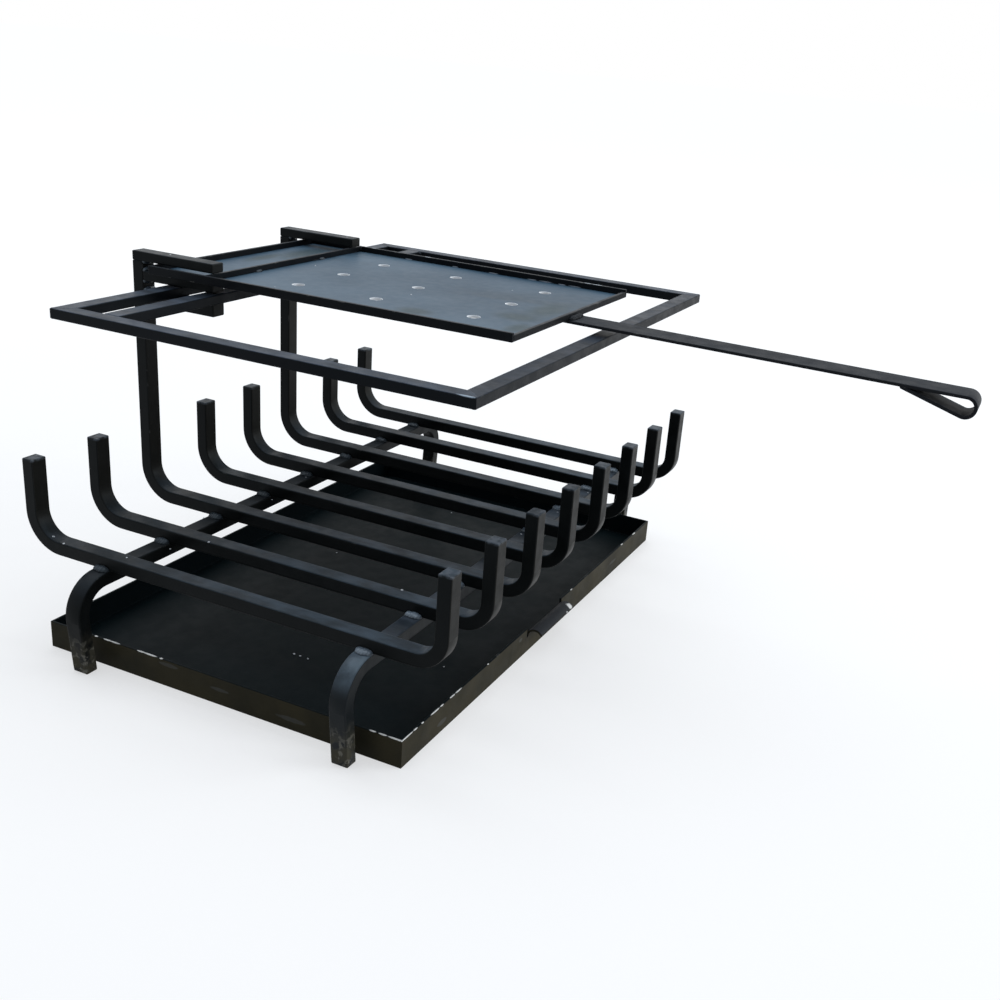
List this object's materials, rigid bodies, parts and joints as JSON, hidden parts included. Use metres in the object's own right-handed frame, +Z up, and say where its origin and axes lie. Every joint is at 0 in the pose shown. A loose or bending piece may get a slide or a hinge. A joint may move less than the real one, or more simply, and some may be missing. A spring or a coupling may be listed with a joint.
{
  "type": "fireplace grill grate",
  "caption": "Log cradle of bent flat bars with a lift-off grill frame, a griddle tray with a long looped handle and a shallow ash pan.",
  "frame": {"origin": "on the floor, under the middle of the whole object's width and depth, the handle included", "axes": "+Z up, -Y towards the user and the handle, +X to the right of someone who stands at the handle and faces the object, the log bars running along Y"},
  "size_m": [0.548, 0.6698, 0.2964],
  "materials": {
    "cradle_black": "satin black heat paint over bent flat bar, duller where logs rub",
    "rail_black": "satin black heat paint, worn and rusty at the foot ends",
    "weld_black": "rippled weld beads under the black paint",
    "frame_black": "satin black heat paint, lightly scuffed along its edges",
    "tray_rim_black": "satin black heat paint, edges worn to dull steel",
    "griddle_plate": "satin blued black sheet with faint stains",
    "handle_grey": "thin worn black paint over flat steel strip",
    "pan_black": "matt black folded sheet, dusty olive on its walls, rim edges worn bright"
  },
  "bodies": {
    "cradle": {"front_rail": "rail_black", "back_rail": "rail_black", "log_bar_1": "cradle_black", "log_bar_2": "cradle_black", "log_bar_3": "cradle_black", "log_bar_4": "cradle_black", "log_bar_5": "cradle_black", "log_bar_6": "cradle_black", "log_bar_7": "cradle_black", "log_bar_8": "cradle_black", "top_arm_left": "cradle_black", "top_arm_right": "cradle_black", "middle_arm_left": "cradle_black", "middle_arm_right": "cradle_black", "bottom_arm_left": "cradle_black", "bottom_arm_right": "cradle_black", "rail_welds": "weld_black", "arm_welds": "weld_black"},
    "grill_frame": {"frame_side_left": "frame_black", "frame_side_right": "frame_black", "frame_front_bar": "frame_black", "frame_back_bar": "frame_black", "frame_cross_bar": "frame_black"},
    "griddle_tray": {"tray_plate": "griddle_plate", "tray_rim_left": "tray_rim_black", "tray_rim_right": "tray_rim_black", "tray_rim_front": "tray_rim_black", "tray_rim_back": "tray_rim_black", "tray_divider": "tray_rim_black", "tray_handle": "handle_grey", "tray_welds": "weld_black"},
    "ash_tray": {"ash_pan": "pan_black"}
  },
  "joints": [
    {"name": "frame_slide", "type": "slide", "parent": "cradle", "child": "grill_frame", "axis": [0, -1, 0], "range_m": [0, 0.18]},
    {"name": "tray_slide", "type": "slide", "parent": "cradle", "child": "griddle_tray", "axis": [0, -1, 0], "range_m": [0, 0.2]},
    {"name": "pan_slide", "type": "slide", "parent": "cradle", "child": "ash_tray", "axis": [0, -1, 0], "range_m": [0, 0.34]}
  ]
}
